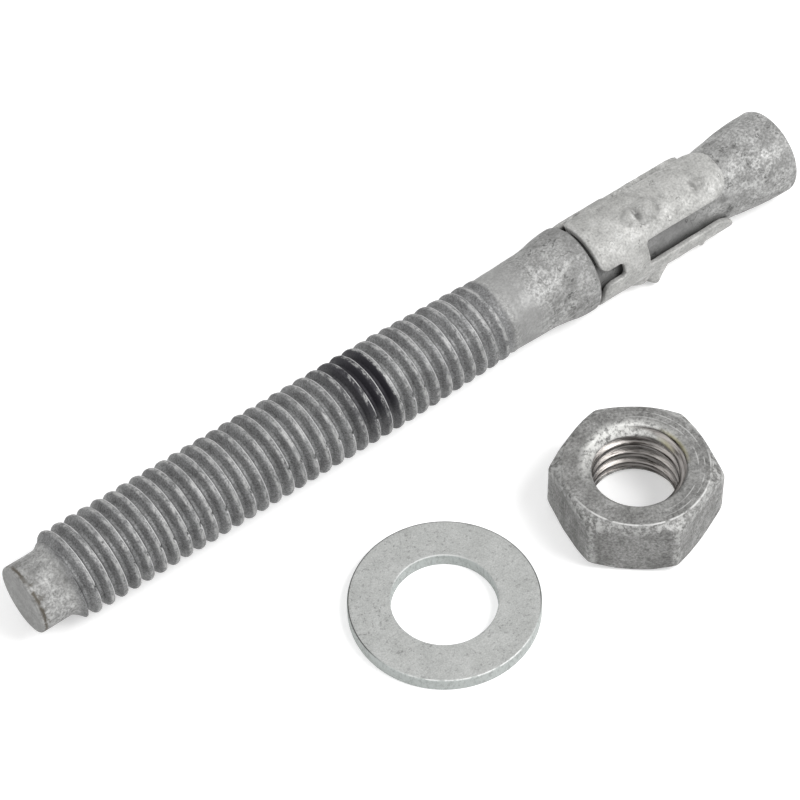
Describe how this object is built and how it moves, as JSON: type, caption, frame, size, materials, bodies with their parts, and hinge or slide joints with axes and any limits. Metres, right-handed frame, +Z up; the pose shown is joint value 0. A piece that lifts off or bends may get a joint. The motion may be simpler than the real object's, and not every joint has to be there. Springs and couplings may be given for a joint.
{
  "type": "wedge anchor",
  "caption": "Expansion bolt with threaded stud, cone end and sliding sheet clip, its flat washer and hex nut taken off and lying beside it.",
  "frame": {"origin": "centre of the whole layout's box, at the surface that all the pieces lie on", "axes": "+X along the stud from its threaded tip to its cone, +Y from the loose washer and nut towards the stud, +Z up from the surface"},
  "size_m": [0.1218, 0.0502, 0.0131],
  "materials": {
    "stud_zinc": "matte hot-dip zinc, dark on the thread and lighter on the shank",
    "clip_zinc": "light warm grey zinc, finely speckled",
    "washer_zinc": "light grey zinc, finely speckled",
    "nut_zinc": "grainy mid-grey zinc with bare bright thread"
  },
  "bodies": {
    "anchor": {"stud": "stud_zinc", "washer": "washer_zinc", "nut": "nut_zinc"},
    "clip": {"expansion_clip": "clip_zinc"}
  },
  "joints": [
    {"name": "clip_slide", "type": "slide", "parent": "anchor", "child": "clip", "axis": [1, 0, 0], "range_m": [-0.0003, 0.0008]}
  ]
}
